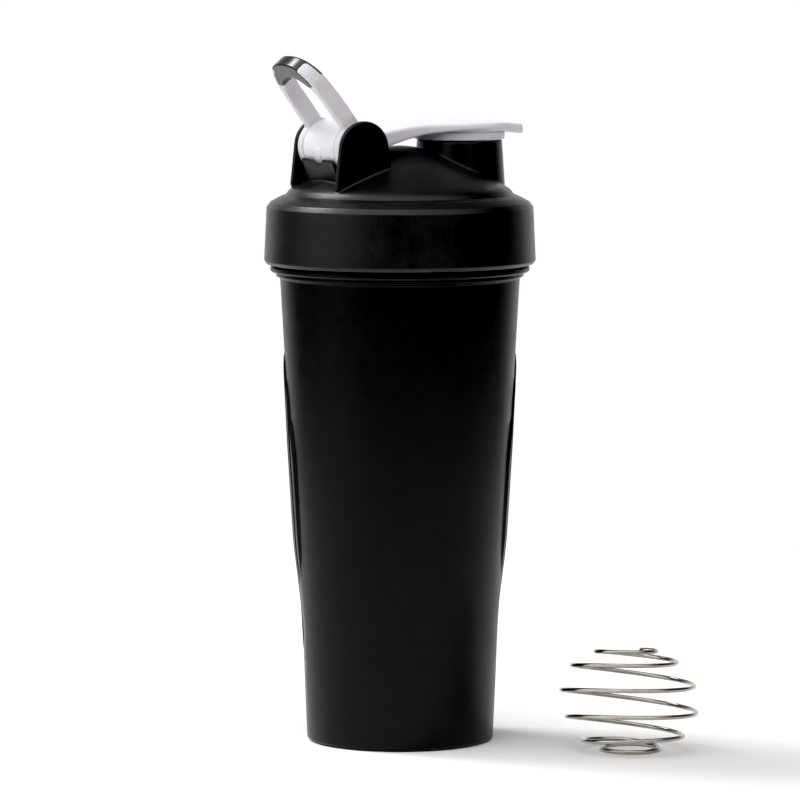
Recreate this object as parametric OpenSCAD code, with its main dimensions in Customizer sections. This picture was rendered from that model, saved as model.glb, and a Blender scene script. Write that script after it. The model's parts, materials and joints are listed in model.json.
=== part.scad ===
// Protein shaker bottle: a tapered cup, a screw lid with a flip cap and a carry loop,
// and the loose wire whisk ball that goes inside it.
// The origin is the centre of the cup's underside, +Z is up and the spout faces +X.

/* [Cup] */
// Radius of the cup's wall where it meets the base
cup_r_base = 34.3; // [33.5:0.1:35]
// Radius of the cup's wall just under its neck rings
cup_r_top = 43.8; // [43.4:0.1:43.9]
// Height of the cup's rim
cup_h = 191; // [190:0.5:191]
// Wall thickness of the cup
cup_wall = 2.2; // [1.8:0.1:2.6]
// Thickness of the cup's floor
cup_floor = 2.6; // [2:0.1:4]
// Radius of the flange that the lid's skirt comes down to
flange_r = 47.35; // [46:0.05:48]

/* [Grip panels] */
// Direction of the first grip panel about the cup's axis, in degrees
panel_angle = -27; // [-40:1:40]
// Height of a panel's lower point
panel_z0 = 33; // [25:1:40]
// Height of a panel's upper point
panel_z1 = 143; // [130:1:150]
// Greatest width of a panel
panel_w = 24; // [18:1:28]
// Number of ribs on each panel
rib_count = 5; // [3:1:7]
// Angle between neighbouring ribs, in degrees
rib_step = 6.6; // [5:0.1:8]
// Width of a rib
rib_w = 2.6; // [2:0.1:3.4]

/* [Screw thread] */
// Rise of the lid in one turn
thread_pitch = 5; // [4.5:0.5:6]
// Turns of thread on the cup and in the lid
thread_turns = 1.25; // [1:0.05:1.5]
// Height of the cup thread's start
thread_z = 180.2; // [179.8:0.1:181]

/* [Lid] */
// Outer radius of the skirt at its lower edge
skirt_r = 49.6; // [49:0.1:50.5]
// Outer radius of the skirt at its upper edge
skirt_r_top = 48.7; // [48.4:0.1:49]
// Height of the skirt's lower edge
skirt_z = 175.2; // [175:0.1:176]
// Radius of the skirt's inside
skirt_bore_r = 46.9; // [46.7:0.1:47.2]
// Radius of the rounded top of the dome
dome_r = 30; // [26:0.5:36]
// Slope of the dome's side below its rounded top, in degrees
dome_slope = 24.7; // [23:0.1:26]
// Height of the top of the dome
dome_top = 218.2; // [217.8:0.1:218.4]
// Wall thickness of the dome
dome_wall = 2.2; // [1.8:0.1:2.4]

/* [Spout] */
// Distance of the spout's centre from the lid's axis
spout_x = 25.2; // [24.8:0.1:25.4]
// Outer radius of the spout at its rim
spout_r = 15.6; // [15.2:0.1:16]
// Outer radius of the spout where it leaves the dome
spout_r_foot = 16.9; // [16.6:0.1:17.2]
// Height of the spout's rim
spout_z = 219.9; // [219.6:0.1:219.9]
// Radius of the spout's bore
spout_bore_r = 13; // [12.5:0.1:13.4]

/* [Hinge] */
// Position of the hinge axis along X
hinge_x = -24.6; // [-25:0.1:-24.4]
// Height of the hinge axis
hinge_z = 218.25; // [218:0.05:218.5]
// Outer radius of the two ears
ear_r = 10; // [9.8:0.1:10.4]
// Distance of an ear's outer face from the middle
ear_y = 17.6; // [17.4:0.1:18]
// Thickness of an ear
ear_t = 2; // [1.8:0.1:2.2]
// Radius of the flip cap's barrel and of the loop's hubs
barrel_r = 9.8; // [9.4:0.1:9.8]
// Radius of the cap's two trunnions
trunnion_r = 4.5; // [3.5:0.1:5]

/* [Flip cap] */
// Half the width of the lever beside its barrel
lever_y = 11.1; // [10.5:0.1:11.2]
// Radius of the round head over the spout
head_r = 17.8; // [17:0.1:18.4]
// X of the thumb tab's end
tab_x = 46.9; // [45:0.1:47.5]
// Radius of the plug's disc
disc_r = 16.6; // [16.2:0.1:17]

/* [Carry loop] */
// Distance of an arm's inner face from the middle, at the hub
arm_y0 = 11.5; // [11.4:0.1:11.6]
// Distance of an arm's outer face from the middle, at the hub
arm_y1 = 15.35; // [15.2:0.05:15.4]
// Distance of the loop's end from the hinge axis
loop_length = 39.5; // [38:0.1:41]
// Half the loop's outer width where its end starts to round off
loop_end_y = 14; // [13.5:0.1:14.4]
// How far the loop stands up from level, in degrees
loop_raise = 50; // [40:1:60]
// Width of the loop's end bar, from its eye to its end face
bar_w = 6.2; // [5:0.1:7]
// Thickness of the soft grip over the loop's end
grip_t = 1.1; // [0.8:0.1:1.4]

/* [Whisk ball] */
// Diameter of the wire
wire_d = 1.6; // [1.4:0.1:2]
// Greatest radius of the coil's centreline
ball_r = 25; // [24:0.1:27]
// Half the height of the ball, were its coil a whole spheroid
ball_half_h = 20; // [19.8:0.1:21]
// Radius of the flat ring that the ball stands on
foot_r = 10.2; // [9:0.1:12]
// Distance of the ball's axis from the cup's axis
ball_gap = 88; // [80:1:120]
// Direction of the ball from the cup, in degrees
ball_direction = -49; // [-60:1:-30]

/* [Hidden] */
$fn = 96;
overlap = 0.4;
fit = 0.06;

// Cup
neck_r = 43.9;
neck_ring_r = 45.2;
neck_z = 170;
ring_z = 170.8;
flange_z = 172.4;
flange_top = 174.4;
panel_flat = [[cup_r_base, 0], [35.2, 30], [35.6, 45], [38.45, 72]];
rib_line = [[35.5, 33], [36.4, 50], [39.1, 72], [41.3, 108], [42.75, 138], [42.5, 143]];

// Lid
dome_drop = dome_wall / cos(dome_slope);
dome_steps = 6;
dome_side = [dome_r * sin(dome_slope), dome_top - dome_r * (1 - cos(dome_slope))];
dome_foot_r = 37.6;
dome_edge = [[40.8, 201.8], [39.4, 202.95]];
shoulder = [[skirt_r_top, 195.8], [47.4, 197.7], [44.1, 199.5], [41.6, 200.55]];
seat_z = cup_h + 2;
collar_r = 40.3;
collar_t = 1.3;
collar_z = cup_h - 2;
cavity_r = collar_r - collar_t;
ear_rear = [-36.3, 204.2];
ear_foot = [-35.4, 202.4];
ear_front = [-13.9, 212.5];
plate_top = 214.25;
plate_t = 2;
plate_foot = [-31.8, 205];
notch_w = [4.7, 11];
notch_z = 212.8;
slot_z = 207.9;
pocket_r = barrel_r + 0.45;
pocket_wall = 1.8;
socket_depth = 1.1;

// Thread ridges: how far they stand out, and their height at the root and at the crest
thread_h = 1.7;
thread_root = 1.9;
thread_crest = 1;
thread_step = 10;
thread_taper = 30;

// Flip cap
lever_top_r = 200;
lever_apex_x = 22;
lever_apex_z = 227.2;
lever_under_r = [100, 150];
lever_under_x = 22;
lever_under_z = 223.9;
plug_gap = 0.15;
disc_top = 223;
plug_r = spout_bore_r - 0.35;
plug_depth = 4.8;
plug_wall = 1.6;
boss_r = 5;
boss_h = 1.6;

// Carry loop, drawn level and pointing to -X from the hinge axis
loop_top_r = 150;
loop_top = [-23, 6.1];
loop_under_z = -1.2;
loop_under_slope = -0.04;
taper_x = -7;
end_round_x = -27.4;
end_round_r = 12;
end_crown_r = 22;
eye_r = 11.4;
eye_x = bar_w + eye_r - loop_length;
eye_taper_x = -17;
eye_end_y = 10.6;
grip_start = -32.4;
grip_end_t = 1.9;
tongue_start = -30.1;

// Whisk ball. A station is half a turn of the coil; stations run from the foot ring upwards.
ball_turn = -30;
wire_sides = 8;
station_step = 0.1;
first_station = -1.9;
last_station = 11.8;
polar_start = 24;
polar_step = 14;
last_wide_station = 9;
tip_reach = [9.8, 4.2];
first_reach = -16.8;
foot_shift = 0.45;
last_drop = 1;
tip_rise = 0.7;
coil_lean = [-0.07, -0.098];

// Joins a row of closed rings of points, all of the same length, into one solid.
module skin(rings) {
    count = len(rings);
    sides = len(rings[0]);
    quads = [
        for (i = [0 : count - 2], j = [0 : sides - 1])
        let (a = i * sides + j, b = i * sides + (j + 1) % sides)
        each [[a, b, b + sides], [a, b + sides, a + sides]]
    ];
    first = [for (j = [sides - 1 : -1 : 0]) j];
    last = [for (j = [0 : sides - 1]) (count - 1) * sides + j];
    polyhedron([for (ring = rings) each ring], concat([first], quads, [last]));
}

// A point given by radius, angle and height.
function polar(r, angle, z) = [r * cos(angle), r * sin(angle), z];

// A screw ridge that runs from r_root to r_crest and fades out at both ends.
module screw_ridge(r_root, r_crest, z) {
    span = 360 * thread_turns;
    skin([
        for (a = [0 : thread_step : span])
        let (
            fade = min(1, a / thread_taper + 0.1, (span - a) / thread_taper + 0.1),
            crest = r_root + (r_crest - r_root) * fade,
            mid = z + thread_pitch * a / 360
        )
        r_crest > r_root
        ? [polar(r_root, a, mid - thread_root / 2), polar(crest, a, mid - thread_crest / 2),
           polar(crest, a, mid + thread_crest / 2), polar(r_root, a, mid + thread_root / 2)]
        : [polar(r_root, a, mid + thread_root / 2), polar(crest, a, mid + thread_crest / 2),
           polar(crest, a, mid - thread_crest / 2), polar(r_root, a, mid - thread_root / 2)]
    ]);
}

// Radius of the cup's plain wall at height z.
function wall_r(z) = cup_r_base + (cup_r_top - cup_r_base) * z / neck_z;

// Turns a drawing in (distance from the axis, height) into a slab that faces direction angle.
module radial_slab(angle, width) {
    rotate([0, 0, angle])
        rotate([90, 0, 0])
            translate([0, 0, -width / 2])
                linear_extrude(width)
                    children();
}

module cup_outside() {
    rotate_extrude() {
        polygon([[0, 0], [cup_r_base - 1.2, 0], [cup_r_base, 1.2], [wall_r(neck_z), neck_z],
                 [neck_ring_r, ring_z], [neck_ring_r, flange_z], [flange_r - 0.4, flange_z],
                 [flange_r, flange_z + 0.5], [flange_r, flange_top - 0.5],
                 [flange_r - 0.4, flange_top], [neck_r, flange_top], [neck_r, cup_h - 0.5],
                 [neck_r - 0.5, cup_h], [0, cup_h]]);
    }
}

module cup_inside() {
    inside = [wall_r(0) - cup_wall, wall_r(neck_z) - cup_wall];
    rotate_extrude() {
        polygon([[0, cup_floor], [inside[0] - 4, cup_floor], [inside[0], cup_floor + 4],
                 [inside[1], neck_z], [neck_r - cup_wall, cup_h - 1],
                 [neck_r - cup_wall, cup_h + 1], [0, cup_h + 1]]);
    }
}

// The leaf outline of a grip panel, as wide as the panel and with a point at each end.
module leaf() {
    half_h = (panel_z1 - panel_z0) / 2;
    arc_r = (half_h * half_h + panel_w * panel_w / 4) / panel_w;
    translate([0, panel_z0 + half_h]) {
        intersection_for (side = [-1, 1]) {
            translate([side * (arc_r - panel_w / 2), 0])
                circle(arc_r, $fn = 200);
        }
    }
}

// The flat that a grip panel is sunk into.
module panel_recess(angle) {
    radial_slab(angle, 60) {
        polygon(concat(panel_flat, [[60, 72], [60, -1], [cup_r_base, -1]]));
    }
}

module panel_ribs(angle) {
    intersection() {
        rotate_extrude() {
            polygon(concat([[34.7, 33]], rib_line, [[40.9, 143]]));
        }
        rotate([0, 0, angle]) {
            rotate([90, 0, 90])
                linear_extrude(60)
                    leaf();
        }
        for (i = [0 : rib_count - 1]) {
            rotate([0, 0, angle + (i - (rib_count - 1) / 2) * rib_step])
                translate([30, -rib_w / 2, 0])
                    cube([20, rib_w, 160]);
        }
    }
}

module cup() {
    color("#141416") {
        difference() {
            union() {
                difference() {
                    cup_outside();
                    for (side = [0, 180]) {
                        panel_recess(panel_angle + side);
                    }
                }
                for (side = [0, 180]) {
                    panel_ribs(panel_angle + side);
                }
            }
            cup_inside();
        }
        screw_ridge(neck_r - overlap, neck_r + thread_h, thread_z);
    }
}

// Height of the dome's straight side at radius r.
function dome_height(r) = dome_side[1] - (r - dome_side[0]) * tan(dome_slope);

// The dome's line in (radius, height), from the foot of its straight side up to the axis.
function dome_line(drop) = concat(
    [[dome_foot_r, dome_height(dome_foot_r) - drop]],
    [for (i = [dome_steps : -1 : 0])
        let (t = dome_slope * i / dome_steps)
        [dome_r * sin(t), dome_top - dome_r * (1 - cos(t)) - drop]]
);

// The lid's outline in (radius, height): skirt, shoulder and dome.
module lid_outline() {
    polygon(concat([[0, skirt_z], [skirt_r - 1.8, skirt_z], [skirt_r - 0.4, skirt_z + 0.7],
                    [skirt_r, skirt_z + 2]], shoulder, dome_edge, dome_line(0)));
}

module lid_cavity() {
    rotate_extrude() {
        translate([0, skirt_z - 1])
            square([skirt_bore_r, collar_z - skirt_z + 1]);
        difference() {
            translate([0, collar_z - 1])
                square([skirt_bore_r, seat_z - collar_z + 1]);
            translate([cavity_r, collar_z])
                square([collar_t, 10]);
        }
        polygon(concat([[0, seat_z - 1], [cavity_r, seat_z - 1], [cavity_r, dome_edge[1][1] - dome_drop]],
                       dome_line(dome_drop)));
    }
}

module spout_tube() {
    translate([spout_x, 0, 200])
        cylinder(r1 = spout_r_foot, r2 = spout_r, h = spout_z - 200);
}

// Draws in (X, Z) and gives a slab from y0 to y1.
module side_slab(y0, y1) {
    translate([0, y1, 0])
        rotate([90, 0, 0])
            linear_extrude(y1 - y0)
                children();
}

module ear_outline() {
    translate([hinge_x, hinge_z])
        circle(ear_r);
    polygon([[hinge_x - ear_r, hinge_z + 0.6], ear_rear, ear_foot, [ear_foot[0], 196],
             [-12, 196], [-12.9, 209], ear_front, [hinge_x + ear_r, hinge_z]]);
}

// The plate behind the barrel: flush with the ears' rear edges at its top, and leaning in below.
module catch_plate() {
    slope = (hinge_x - ear_r - ear_rear[0]) / (hinge_z - ear_rear[1]);
    top_x = ear_rear[0] + slope * (plate_top - ear_rear[1]);
    side_slab(-ear_y + 0.4, ear_y - 0.4) {
        polygon([[top_x, plate_top], plate_foot, [plate_foot[0], 198], [plate_foot[0] + 5, 198],
                 [plate_foot[0] + 5, slot_z - 1], [top_x + plate_t, plate_top]]);
    }
}

// What is cut from the plate: a notch in its top and the arms' two slots.
module plate_cuts() {
    translate([-40, 0, 0]) {
        rotate([90, 0, 90])
            linear_extrude(9)
                polygon([[-notch_w[0] / 2, notch_z], [notch_w[0] / 2, notch_z],
                         [notch_w[1] / 2, plate_top + 1], [-notch_w[1] / 2, plate_top + 1]]);
        for (side = [-1, 1]) {
            translate([0, side * (arm_y0 - 0.2 + ear_y - ear_t) / 2 - 2.15, slot_z])
                cube([9.4, 4.3, 10]);
        }
    }
}

module along_hinge(r, half_width) {
    translate([hinge_x, half_width, hinge_z])
        rotate([90, 0, 0])
            cylinder(r = r, h = 2 * half_width);
}

module lid() {
    color("#1b1b1e") {
        difference() {
            union() {
                difference() {
                    union() {
                        rotate_extrude() {
                            lid_outline();
                        }
                        spout_tube();
                        for (side = [-ear_y, ear_y - ear_t]) {
                            side_slab(side, side + ear_t) {
                                ear_outline();
                            }
                        }
                        catch_plate();
                    }
                    lid_cavity();
                }
                intersection() {
                    along_hinge(pocket_r + pocket_wall, ear_y);
                    rotate_extrude() {
                        polygon(concat([[0, 195], [dome_foot_r, 195]], dome_line(0.3)));
                    }
                }
            }
            along_hinge(pocket_r, ear_y - ear_t);
            plate_cuts();
            along_hinge(trunnion_r + fit, ear_y - ear_t + socket_depth);
            translate([spout_x, 0, 190])
                cylinder(r = spout_bore_r, h = 40);
        }
        screw_ridge(skirt_bore_r + overlap, skirt_bore_r - thread_h, thread_z - thread_pitch / 2);
    }
}

module lid_seal_ring() {
    color("#d9dbe0") {
        rotate_extrude() {
            translate([collar_r + 0.3, cup_h])
                square([4.2, seat_z - cup_h]);
        }
    }
}

// Half the lever's width at x: narrow at the barrel, then flaring into the head.
function lever_half(x) =
    let (t = min(1, max(0, (x - 2) / 19)))
    lever_y + (head_r - 0.1 - lever_y) * t * t * (3 - 2 * t);

module lever_plan() {
    flare = [for (x = [hinge_x, -8, for (i = [2 : 3 : 23]) i]) [x, lever_half(x)]];
    polygon(concat(flare, [for (i = [len(flare) - 1 : -1 : 0]) [flare[i][0], -flare[i][1]]]));
    translate([spout_x, 0])
        circle(head_r);
    translate([spout_x, -lever_y])
        square([tab_x - spout_x - 3, 2 * lever_y]);
    translate([spout_x, 3 - lever_y])
        square([tab_x - spout_x, 2 * lever_y - 6]);
    for (side = [-1, 1]) {
        translate([tab_x - 3, side * (lever_y - 3)])
            circle(3, $fn = 48);
    }
}

// The lever from the side: a long arc on top and two arcs underneath.
module lever_side() {
    difference() {
        intersection() {
            translate([lever_apex_x, lever_apex_z - lever_top_r])
                circle(lever_top_r, $fn = 200);
            translate([hinge_x + 4, 200])
                square([80, 40]);
        }
        intersection() {
            translate([lever_under_x, lever_under_z - lever_under_r[0]])
                circle(lever_under_r[0], $fn = 200);
            translate([-60, 150])
                square([60 + lever_under_x, 100]);
        }
        intersection() {
            translate([lever_under_x, lever_under_z - lever_under_r[1]])
                circle(lever_under_r[1], $fn = 200);
            translate([lever_under_x, 150])
                square([60, 100]);
        }
    }
}

module flip_cap() {
    color("#f3f1f6") {
        difference() {
            union() {
                intersection() {
                    side_slab(-20, 20) {
                        lever_side();
                    }
                    translate([0, 0, 200])
                        linear_extrude(40)
                            lever_plan();
                }
                along_hinge(barrel_r, lever_y);
                translate([spout_x, 0, disc_top])
                    cylinder(r = disc_r, h = 2);
            }
            translate([spout_x, 0, disc_top - 9])
                cylinder(r = disc_r + 0.1, h = 9);
            translate([spout_x, 0, disc_top - 1])
                cylinder(r = boss_r, h = 1 + boss_h);
        }
        along_hinge(trunnion_r, ear_y - ear_t + socket_depth - 0.15);
    }
}

module spout_plug() {
    disc_z = spout_z + plug_gap;
    color("#ece9f2") {
        translate([spout_x, 0, 0]) {
            translate([0, 0, disc_z])
                cylinder(r = disc_r, h = disc_top - disc_z);
            translate([0, 0, disc_top - 0.5])
                cylinder(r = boss_r, h = boss_h + 0.5);
            difference() {
                union() {
                    translate([0, 0, disc_z - plug_depth + 1])
                        cylinder(r = plug_r, h = plug_depth);
                    translate([0, 0, disc_z - plug_depth])
                        cylinder(r1 = plug_r - 0.7, r2 = plug_r, h = 1);
                }
                translate([0, 0, disc_z - plug_depth - 1])
                    cylinder(r = plug_r - plug_wall, h = plug_depth + 1);
            }
        }
    }
}

// Raises what is drawn level and brings it to the hinge axis.
module raise_loop() {
    translate([hinge_x, 0, hinge_z])
        rotate([0, loop_raise, 0])
            children();
}

// The loop's outline from the side: its top and underside drawn in by a margin, out to end_x.
module loop_side(margin, end_x) {
    intersection() {
        translate([loop_top[0], loop_top[1] - loop_top_r])
            circle(loop_top_r - margin, $fn = 200);
        polygon([[0, loop_under_z + margin], [0, 12], [end_x, 12],
                 [end_x, loop_under_z + margin + loop_under_slope * end_x]]);
    }
}

// The loop's outline from above: straight arms that draw together, and a rounded end.
module loop_plan() {
    polygon([[0, -arm_y1], [taper_x, -arm_y1], [end_round_x, -loop_end_y],
             [end_round_x, loop_end_y], [taper_x, arm_y1], [0, arm_y1]]);
    intersection() {
        translate([-60, -30])
            square([60 + end_round_x + 0.5, 60]);
        translate([end_crown_r - loop_length, 0])
            circle(end_crown_r);
        union() {
            for (side = [-1, 1]) {
                translate([end_round_x, side * (loop_end_y - end_round_r)])
                    circle(end_round_r - 0.02);
            }
            translate([-loop_length - 2, -5])
                square([loop_length + end_round_x + 2, 10]);
        }
    }
}

// The eye between the arms, from above, with its walls moved outwards by a margin.
module eye_plan(margin) {
    sides = [[20, arm_y0 + margin], [eye_taper_x, arm_y0 + margin],
             [eye_x - 3.5, eye_end_y + margin]];
    polygon(concat(sides, [for (i = [2 : -1 : 0]) [sides[i][0], -sides[i][1]]]));
    translate([eye_x, 0])
        circle(eye_r + margin);
}

// The whole loop with its grip: two arms, two hubs and the bar that joins them.
module loop_form() {
    difference() {
        union() {
            raise_loop() {
                intersection() {
                    side_slab(-ear_y, ear_y) {
                        loop_side(0, -loop_length - 2);
                    }
                    translate([0, 0, -10])
                        linear_extrude(30)
                            loop_plan();
                }
            }
            along_hinge(barrel_r, arm_y1);
        }
        raise_loop() {
            translate([0, 0, -12])
                linear_extrude(34)
                    eye_plan(0);
        }
    }
}

// The part of the loop that the soft grip covers: a sleeve over the end with its sides left
// open, and a lining that runs a little way down the inner faces of the arms.
module grip_zone() {
    raise_loop() {
        difference() {
            translate([-loop_length - 3, -ear_y, -6])
                cube([loop_length + 3 + grip_start, 2 * ear_y, 20]);
            side_slab(-ear_y - 1, ear_y + 1) {
                loop_side(grip_t, grip_end_t - loop_length);
            }
        }
        intersection() {
            translate([-loop_length + 2, -ear_y, -6])
                cube([loop_length - 2 + tongue_start, 2 * ear_y, 20]);
            translate([0, 0, -6])
                linear_extrude(20)
                    eye_plan(grip_t);
        }
    }
}

module carry_loop() {
    color("#eeecf1") {
        difference() {
            loop_form();
            grip_zone();
            along_hinge(trunnion_r + fit, ear_y);
        }
    }
}

module loop_grip() {
    color("#0d0d0f") {
        intersection() {
            loop_form();
            grip_zone();
        }
    }
}

// How far the coil reaches along its own X axis at a whole station: the even stations lie on
// the +X side and the odd ones on the -X side, until the small ring at the tip.
function coil_reach(k) =
    k > last_wide_station
    ? tip_reach[k % 2]
    : k < 1
    ? (k % 2 == 0 ? 1 : -1) * foot_r + foot_shift
    : k == 1
    ? first_reach
    : (k % 2 == 0 ? 1 : -1) * ball_r * sin(polar_start + polar_step * k);

// Height of the coil before it leans. It is flattened just under the tip ring.
function coil_height(k) =
    let (
        polar_angle = polar_start + polar_step * min(k, last_wide_station),
        drop = min(1, max(0, k - last_wide_station + 1)) * last_drop,
        rise = min(1, max(0, k - last_wide_station)) * (tip_rise + last_drop)
    )
    k <= 0
    ? wire_d / 2
    : wire_d / 2 + ball_half_h * (cos(polar_start) - cos(polar_angle)) - drop + rise;

// A point of the coil's centreline: each half turn is a half circle between two stations.
function coil_point(k) =
    let (
        i = floor(k),
        middle = (coil_reach(i) + coil_reach(i + 1)) / 2,
        radius = (coil_reach(i) - coil_reach(i + 1)) / 2,
        x = middle + radius * cos(180 * (k - i)),
        y = radius * sin(180 * (k - i)),
        lean = min(1, max(0, (k - 0.5) / 1.5))
    )
    [x, y, coil_height(k) + lean * (coil_lean[0] * x + coil_lean[1] * y)];

// One octagonal section of the wire, square to the coil.
function wire_ring(k) =
    let (
        along = coil_point(k + 0.02) - coil_point(k - 0.02),
        side = cross([0, 0, 1], along) / norm(cross([0, 0, 1], along)),
        up = cross(side, along) / norm(along)
    )
    [for (j = [0 : wire_sides - 1])
        let (t = 360 * j / wire_sides)
        coil_point(k) + wire_d / 2 * (cos(t) * side + sin(t) * up)];

module whisk_ball() {
    color("silver") {
        rotate([0, 0, ball_direction])
            translate([ball_gap, 0, 0])
                rotate([0, 0, ball_turn - ball_direction])
                    skin([for (k = [first_station : station_step : last_station]) wire_ring(k)]);
    }
}

cup();
lid();
lid_seal_ring();
flip_cap();
spout_plug();
carry_loop();
loop_grip();
whisk_ball();
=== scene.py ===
"""The looks of the shaker bottle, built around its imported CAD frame.

Shapes are worked out in millimetres, in the CAD's own axes, and turned into metres when they become meshes.
Turned pieces come from a profile. The others come from a distance field, whose zero surface is meshed.
"""

import json
import math

import bpy
import numpy as np
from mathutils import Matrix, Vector


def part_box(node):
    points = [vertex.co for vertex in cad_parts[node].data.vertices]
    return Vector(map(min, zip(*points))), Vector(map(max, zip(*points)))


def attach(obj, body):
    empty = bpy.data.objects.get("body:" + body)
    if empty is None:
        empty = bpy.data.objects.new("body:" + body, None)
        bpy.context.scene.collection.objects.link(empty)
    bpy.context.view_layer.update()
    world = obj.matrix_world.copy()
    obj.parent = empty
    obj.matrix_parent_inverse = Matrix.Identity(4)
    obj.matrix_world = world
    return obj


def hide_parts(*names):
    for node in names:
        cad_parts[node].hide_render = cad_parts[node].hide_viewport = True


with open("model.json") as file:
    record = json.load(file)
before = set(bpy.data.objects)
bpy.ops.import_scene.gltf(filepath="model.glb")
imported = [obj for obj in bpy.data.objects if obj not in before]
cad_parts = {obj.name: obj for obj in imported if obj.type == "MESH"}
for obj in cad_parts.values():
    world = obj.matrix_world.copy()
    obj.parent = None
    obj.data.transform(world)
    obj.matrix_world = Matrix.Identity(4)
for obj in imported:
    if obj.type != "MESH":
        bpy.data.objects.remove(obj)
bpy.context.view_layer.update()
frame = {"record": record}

MM = 0.001
JOINTS = {j["name"]: j for j in frame["record"]["behaviour"]["joints"]}
HINGE_X, _, HINGE_Z = (c / MM for c in JOINTS["cap_hinge"]["pos_m"])


def cad_box(node):
    """A CAD node's lowest and highest corners in millimetres."""
    return [np.array(corner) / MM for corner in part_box(node)]


# ---------------------------------------------------------------- meshes

def make_object(name, verts, faces, material, body, node, slot):
    """A smooth mesh object from points in millimetres, riding on a body and standing for a CAD node."""
    mesh = bpy.data.meshes.new(name)
    mesh.from_pydata((np.asarray(verts) * MM).tolist(), [], [list(f) for f in faces])
    mesh.validate()
    mesh.polygons.foreach_set("use_smooth", [True] * len(mesh.polygons))
    mesh.materials.append(material)
    obj = bpy.data.objects.new(name, mesh)
    bpy.context.scene.collection.objects.link(obj)
    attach(obj, body)
    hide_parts(node)


def merge(*parts):
    """Several (points, faces) pairs as one."""
    verts, faces, start = [], [], 0
    for v, f in parts:
        verts.append(np.asarray(v))
        faces += [[i + start for i in face] for face in f]
        start += len(v)
    return np.vstack(verts), faces


def round_profile(corners, steps=5):
    """An open chain of (r, z, radius) corners with each corner rounded to its radius."""
    out = []
    for i, (r, z, radius) in enumerate(corners):
        here = np.array([r, z])
        if radius <= 0 or i in (0, len(corners) - 1):
            out.append(here)
            continue
        back = np.array(corners[i - 1][:2]) - here
        ahead = np.array(corners[i + 1][:2]) - here
        back_len, ahead_len = np.linalg.norm(back), np.linalg.norm(ahead)
        back, ahead = back / back_len, ahead / ahead_len
        half = math.acos(np.clip(back @ ahead, -1, 1)) / 2
        reach = min(radius / math.tan(half), 0.48 * back_len, 0.48 * ahead_len)
        for k in range(steps + 1):
            t = k / steps
            out.append(here + back * reach * (1 - t) ** 2 + ahead * reach * t ** 2)
    return np.array(out)


def densify(points, gap):
    """The chain with extra points, so that no two are further apart than gap."""
    out = [points[0]]
    for a, b in zip(points[:-1], points[1:]):
        parts = max(1, math.ceil(np.linalg.norm(b - a) / gap))
        out += [a + (b - a) * k / parts for k in range(1, parts + 1)]
    return np.array(out)


def lathe(profile, angles, shape=None):
    """Turns an outline of (r, z) about the Z axis. The outline runs with the solid on its left.

    Where it touches the axis it closes there. shape(r, z, angle) may change the radius.
    """
    profile = np.asarray(profile)
    r = profile[:, 0][:, None] * np.ones(len(angles))
    z = profile[:, 1][:, None] * np.ones(len(angles))
    if shape is not None:
        r = shape(r, z, np.ones(len(profile))[:, None] * angles)
    verts = np.stack([r * np.cos(angles), r * np.sin(angles), z], -1).reshape(-1, 3)
    n, m = len(profile), len(angles)
    faces = []
    closed = not (profile[0, 0] == 0 and profile[-1, 0] == 0)
    for i in range(n if closed else n - 1):
        k = (i + 1) % n
        for j in range(m):
            after = (j + 1) % m
            faces.append((i * m + j, i * m + after, k * m + after, k * m + j))
    return weld_axis(verts, faces, profile, m)


def weld_axis(verts, faces, profile, m):
    """Joins the ring of points that lies on the axis into one point."""
    index = np.arange(len(verts))
    for i, (r, _) in enumerate(profile):
        if r == 0:
            index[i * m:(i + 1) * m] = i * m
    welded = []
    for face in faces:
        kept = []
        for v in (index[i] for i in face):
            if v not in kept:
                kept.append(int(v))
        if len(kept) > 2:
            welded.append(kept)
    used = sorted({v for f in welded for v in f})
    renumber = {v: k for k, v in enumerate(used)}
    return verts[used], [[renumber[v] for v in f] for f in welded]


def circle_angles(count):
    return np.arange(count) * 2 * math.pi / count


def screw_ridge(r_root, r_crest, z, pitch=5, turns=1.25, root=1.9, crest=1.0):
    """A screw ridge that fades out at both ends, as a closed solid."""
    steps, fade_turn, end_height = 150, 0.5, 0.05
    rings = []
    for k in range(steps + 1):
        a = 2 * math.pi * turns * k / steps
        fade = min(1, end_height + min(a, 2 * math.pi * turns - a) / fade_turn)
        r = r_root + (r_crest - r_root) * fade
        mid = z + pitch * a / (2 * math.pi)
        inward = r_crest < r_root
        section = [(r_root, -root / 2), (r, -crest / 2), (r, crest / 2), (r_root, root / 2)]
        for point_r, rise in reversed(section) if inward else section:
            rings.append((point_r * math.cos(a), point_r * math.sin(a), mid + rise))
    faces = [(3, 2, 1, 0), tuple(4 * steps + i for i in range(4))]
    for k in range(steps):
        for i in range(4):
            a, b = 4 * k + i, 4 * k + (i + 1) % 4
            faces.append((a, b, b + 4, a + 4))
    return np.array(rings), faces


# ---------------------------------------------------------------- distance fields

def smin(a, b, k):
    """Union of two fields with a fillet of about k."""
    h = np.maximum(k - np.abs(a - b), 0) / k
    return np.minimum(a, b) - h * h * k / 4


def smax(a, b, k):
    """Intersection of two fields with an edge rounded to about k."""
    return -smin(-a, -b, k)


def cut(a, b, k):
    """a less b, with a rounded edge."""
    return smax(a, -b, k)


def polygon_field(x, y, points):
    """Signed distance to a polygon."""
    best = np.full(np.shape(x), np.inf)
    odd = np.zeros(np.shape(x), bool)
    points = [np.asarray(p, float) for p in points]
    for a, b in zip(points, points[1:] + points[:1]):
        e = b - a
        wx, wy = x - a[0], y - a[1]
        t = np.clip((wx * e[0] + wy * e[1]) / (e @ e), 0, 1)
        best = np.minimum(best, (wx - e[0] * t) ** 2 + (wy - e[1] * t) ** 2)
        crosses = (a[1] > y) != (b[1] > y)
        if e[1] != 0:
            odd ^= crosses & (x < e[0] * (y - a[1]) / e[1] + a[0])
    return np.where(odd, -1, 1) * np.sqrt(best)


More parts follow.
